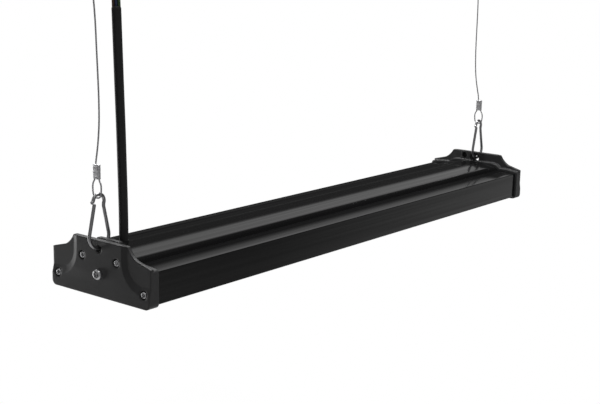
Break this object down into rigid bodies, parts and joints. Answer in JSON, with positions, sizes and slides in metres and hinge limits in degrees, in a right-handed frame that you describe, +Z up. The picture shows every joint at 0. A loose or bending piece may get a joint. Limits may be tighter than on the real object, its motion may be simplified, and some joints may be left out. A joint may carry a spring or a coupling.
{
  "type": "linear high bay light",
  "caption": "Long black suspended light: extruded housing with a diffuser below, moulded end caps, wire hooks with looped ropes, and a supply cable rising from one end",
  "frame": {"origin": "midway between the two hook holes, on the line through the hook wires where they bear in the end caps", "axes": "+X runs along the housing from the end with the cable to the far end, +Y across it, +Z up"},
  "size_m": [0.6392, 0.12, 0.2812],
  "materials": {
    "housing_black": "satin black anodised extrusion",
    "cap_black": "fine-grained black moulding",
    "seal_rubber": "matte",
    "screw_steel": "bright plated",
    "hook_steel": "polished spring wire",
    "rope_steel": "stranded wire",
    "ferrule_metal": "pressed, satin",
    "board_white": "white solder mask",
    "emitter_yellow": "phosphor",
    "diffuser_frost": "frosted",
    "driver_metal": "satin sheet",
    "board_green": "solder mask",
    "coil_tape": "yellow tape",
    "can_black": "shrink sleeve",
    "terminal_plastic": "plain",
    "terminal_brass": "plated",
    "cable_black": "smooth sheath",
    "core_brown": "plain",
    "core_blue": "plain",
    "core_green": "plain",
    "tip_metal": "tinned strands"
  },
  "bodies": {
    "housing": {"housing": "housing_black", "near_end_cap": "cap_black", "far_end_cap": "cap_black", "near_cap_gasket": "seal_rubber", "far_cap_gasket": "seal_rubber", "cable_boot": "seal_rubber", "far_blank_plug": "seal_rubber", "near_cap_screws": "screw_steel", "far_cap_screws": "screw_steel", "near_bracket_screw": "screw_steel", "far_bracket_screw": "screw_steel", "board_screws": "screw_steel", "driver_screws": "screw_steel", "front_led_board": "board_white", "back_led_board": "board_white", "front_leds": "emitter_yellow", "back_leds": "emitter_yellow", "diffuser": "diffuser_frost", "driver_tray": "driver_metal", "driver_cover": "driver_metal", "driver_board": "board_green", "driver_transformer": "coil_tape", "driver_capacitors": "can_black", "terminal_block": "terminal_plastic", "terminal_screws": "terminal_brass", "power_cable": "cable_black", "supply_lead": "cable_black", "output_lead": "cable_black", "brown_core": "core_brown", "blue_core": "core_blue", "earth_core": "core_green", "core_tips": "tip_metal"},
    "near_hook": {"near_hook": "hook_steel"},
    "near_rope": {"near_rope": "rope_steel", "near_lower_ferrule": "ferrule_metal", "near_upper_ferrule": "ferrule_metal"},
    "far_hook": {"far_hook": "hook_steel"},
    "far_rope": {"far_rope": "rope_steel", "far_lower_ferrule": "ferrule_metal", "far_upper_ferrule": "ferrule_metal"}
  },
  "joints": [
    {"name": "near_hook_swing", "type": "hinge", "parent": "housing", "child": "near_hook", "pos_m": [-0.309, 0, 0], "axis": [1, 0, 0], "range_deg": [-75, 20]},
    {"name": "near_rope_swing", "type": "hinge", "parent": "near_hook", "child": "near_rope", "pos_m": [-0.309, 0, 0.0459], "axis": [1, 0, 0], "range_deg": [-30, 30]},
    {"name": "far_hook_swing", "type": "hinge", "parent": "housing", "child": "far_hook", "pos_m": [0.306, 0, 0], "axis": [1, 0, 0], "range_deg": [-85, 85]},
    {"name": "far_rope_swing", "type": "hinge", "parent": "far_hook", "child": "far_rope", "pos_m": [0.306, 0, 0.0459], "axis": [1, 0, 0], "range_deg": [-30, 30]}
  ]
}
